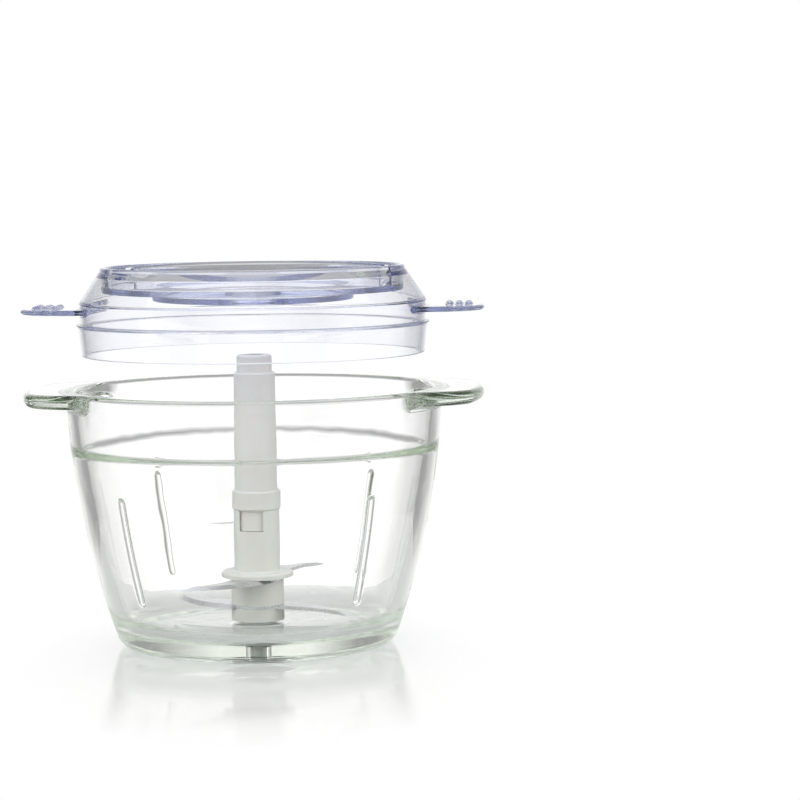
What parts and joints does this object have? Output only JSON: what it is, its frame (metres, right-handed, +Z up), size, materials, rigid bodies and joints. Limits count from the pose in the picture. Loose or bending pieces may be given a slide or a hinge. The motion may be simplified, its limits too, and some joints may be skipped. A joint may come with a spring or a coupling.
{
  "type": "mini chopper bowl set",
  "caption": "Clear pressed-glass chopper bowl with paddle ears, a stemmed blade unit that spins on a floor pin, and a tinted clear lid with thumb tabs and a recessed motor seat.",
  "frame": {"origin": "on the table under the middle of the bowl's foot", "axes": "+Z up along the pin and the lid's lift, +X through the right ear, +Y away from the viewer"},
  "size_m": [0.1918, 0.1566, 0.1573],
  "materials": {
    "pressed_glass": "clear, fire polished",
    "tinted_plastic": "clear violet-blue, gloss",
    "ivory_plastic": "moulded, satin",
    "blade_steel": "ground and polished",
    "pin_steel": "turned",
    "silicone": "matt, translucent"
  },
  "bodies": {
    "bowl": {"glass_bowl": "pressed_glass", "spindle_pin": "pin_steel", "floor_grommet": "silicone", "lower_gasket": "silicone", "pin_washer": "pin_steel", "pin_nut": "pin_steel"},
    "blade_unit": {"blade_hub": "ivory_plastic", "blade_stem": "ivory_plastic", "upper_blade": "blade_steel", "blade_spacer": "ivory_plastic", "lower_blade": "blade_steel", "blade_retainer": "ivory_plastic"},
    "lid": {"lid": "tinted_plastic"}
  },
  "joints": [
    {"name": "blade_spin", "type": "hinge", "parent": "bowl", "child": "blade_unit", "pos_m": [0, 0, 0.0104], "axis": [0, 0, 1], "continuous": true},
    {"name": "lid_lift", "type": "slide", "parent": "bowl", "child": "lid", "axis": [0, 0, 1], "range_m": [-0.0312, 0.048]}
  ]
}
